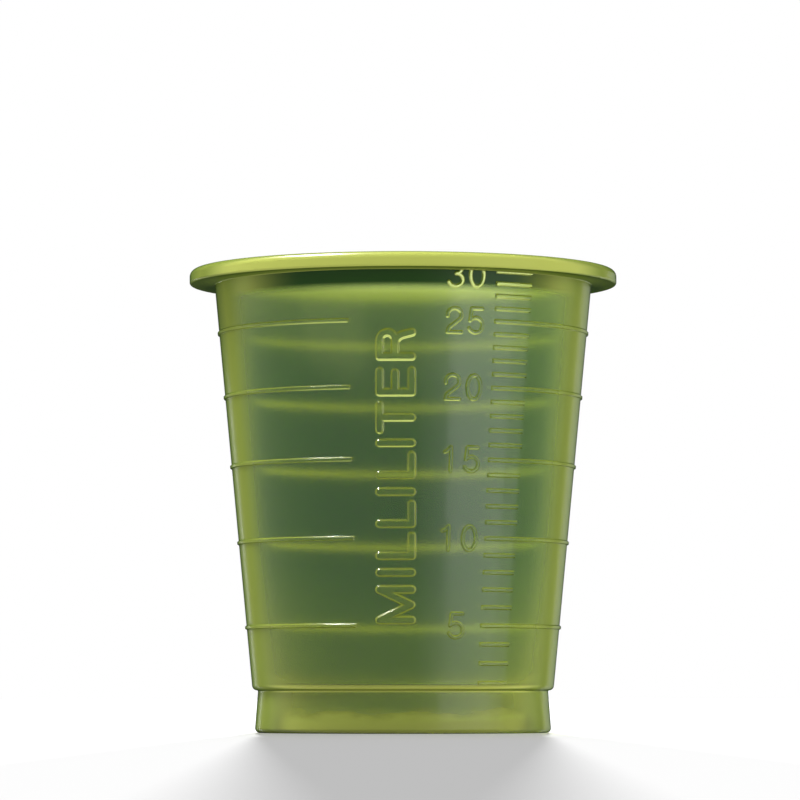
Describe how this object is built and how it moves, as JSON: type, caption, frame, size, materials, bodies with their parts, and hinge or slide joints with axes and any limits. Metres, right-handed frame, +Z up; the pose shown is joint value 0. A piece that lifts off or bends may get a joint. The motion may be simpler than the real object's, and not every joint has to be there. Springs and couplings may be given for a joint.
{
  "type": "medicine cup",
  "caption": "Small moulded dosing cup: a tapered translucent wall with a flat rim flange, a stepped foot and a raised measuring scale up its side.",
  "frame": {"origin": "centre of the base, on the plane of the ring that the cup stands on", "axes": "+Z up the cup's axis towards the rim, -Y towards the front, which carries the scale"},
  "size_m": [0.0402, 0.0402, 0.0434],
  "materials": {
    "cup_plastic": "translucent green moulded plastic, satin gloss"
  },
  "bodies": {
    "root": {"cup": "cup_plastic"}
  },
  "joints": []
}
